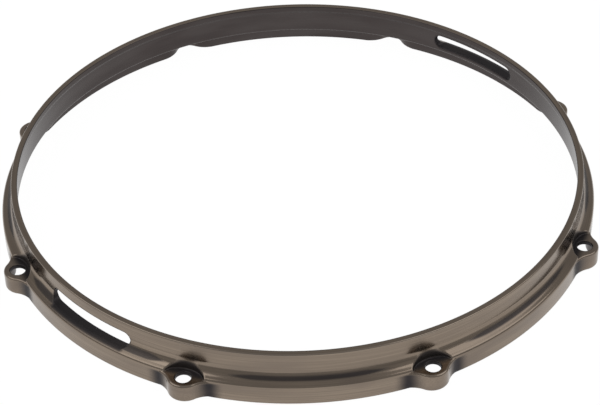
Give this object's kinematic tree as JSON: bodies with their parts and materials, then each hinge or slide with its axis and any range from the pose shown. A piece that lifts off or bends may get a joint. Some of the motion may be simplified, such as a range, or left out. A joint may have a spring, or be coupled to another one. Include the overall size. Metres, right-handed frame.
{
  "type": "drum hoop",
  "caption": "Die-cast snare-side drum hoop: a rim with two snare gates through it, a bearing ledge, a skirt round the drum head and hollow ears for the tension rods.",
  "frame": {"origin": "centre of the plane that the skirt stands on", "axes": "+Z is the hoop's axis, up towards the rim; the two snare gates lie on the Y axis"},
  "size_m": [0.3536, 0.3536, 0.0294],
  "materials": {
    "plated_casting": "satin black nickel plate over a zinc die casting, finely brushed round the hoop"
  },
  "bodies": {
    "root": {"rim_1": "plated_casting", "rim_2": "plated_casting", "rim_3": "plated_casting", "rim_4": "plated_casting", "rim_5": "plated_casting", "rim_6": "plated_casting", "rim_7": "plated_casting", "rim_8": "plated_casting", "bearing_ledge_1": "plated_casting", "bearing_ledge_2": "plated_casting", "bearing_ledge_3": "plated_casting", "bearing_ledge_4": "plated_casting", "bearing_ledge_5": "plated_casting", "bearing_ledge_6": "plated_casting", "bearing_ledge_7": "plated_casting", "bearing_ledge_8": "plated_casting", "skirt_1": "plated_casting", "skirt_2": "plated_casting", "skirt_3": "plated_casting", "skirt_4": "plated_casting", "skirt_5": "plated_casting", "skirt_6": "plated_casting", "skirt_7": "plated_casting", "skirt_8": "plated_casting", "ear_1": "plated_casting", "ear_2": "plated_casting", "ear_3": "plated_casting", "ear_4": "plated_casting", "ear_5": "plated_casting", "ear_6": "plated_casting", "ear_7": "plated_casting", "ear_8": "plated_casting"}
  },
  "joints": []
}
